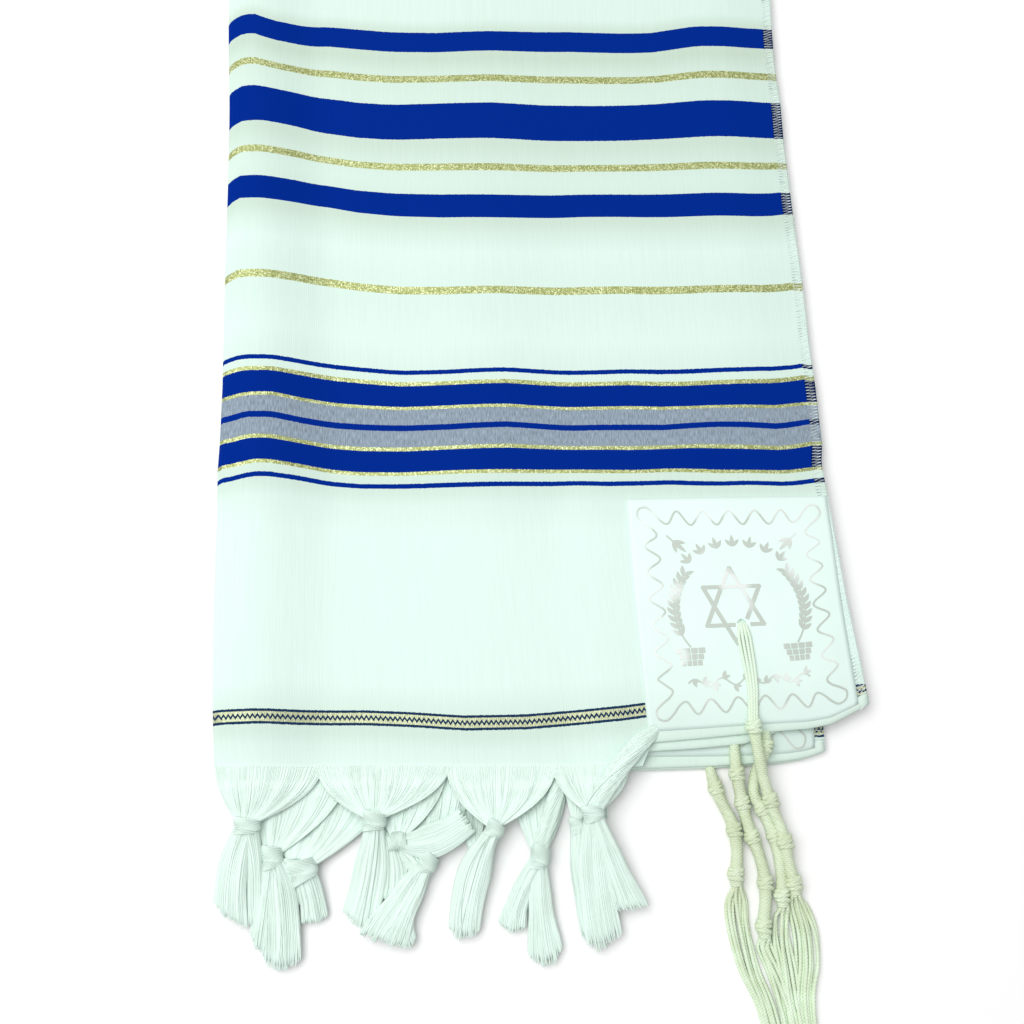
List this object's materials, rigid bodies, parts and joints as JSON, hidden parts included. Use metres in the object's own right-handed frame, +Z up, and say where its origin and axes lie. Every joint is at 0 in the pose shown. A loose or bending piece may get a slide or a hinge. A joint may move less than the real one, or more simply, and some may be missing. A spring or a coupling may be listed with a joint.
{
  "type": "tallit prayer shawl",
  "caption": "Folded prayer shawl with woven stripes, satin corner patches, knotted tassels along its ends and long knotted corner strings, lying flat in its folds",
  "frame": {"origin": "the middle of the folded cloth's flat underside, on the surface that it lies on", "axes": "+X from the lengthwise fold to the open edges, +Y from the fringed ends to the crosswise fold, +Z up from the surface"},
  "size_m": [0.2818, 1.0644, 0.0153],
  "materials": {
    "woven_cloth": "plain weave, mint white, with royal blue, gold and grey-blue stripes woven across",
    "satin_patch": "white satin with a silver-grey woven figure",
    "fringe_yarn": "loose white warp yarn",
    "ivory_cord": "twisted ivory cord"
  },
  "bodies": {
    "root": {"shawl_cloth": "woven_cloth", "corner_patch_1": "satin_patch", "corner_patch_3": "satin_patch", "corner_patch_4": "satin_patch", "tassel_01": "fringe_yarn", "tassel_02": "fringe_yarn", "tassel_03": "fringe_yarn", "tassel_04": "fringe_yarn", "tassel_05": "fringe_yarn", "tassel_06": "fringe_yarn", "tassel_07": "fringe_yarn", "tassel_08": "fringe_yarn", "tassel_09": "fringe_yarn", "tassel_10": "fringe_yarn", "tassel_11": "fringe_yarn", "tassel_12": "fringe_yarn", "tassel_13": "fringe_yarn", "tassel_14": "fringe_yarn", "tassel_15": "fringe_yarn", "tassel_16": "fringe_yarn", "tzitzit_1": "ivory_cord", "tzitzit_2": "ivory_cord", "tzitzit_3": "ivory_cord", "tzitzit_4": "ivory_cord"}
  },
  "joints": []
}
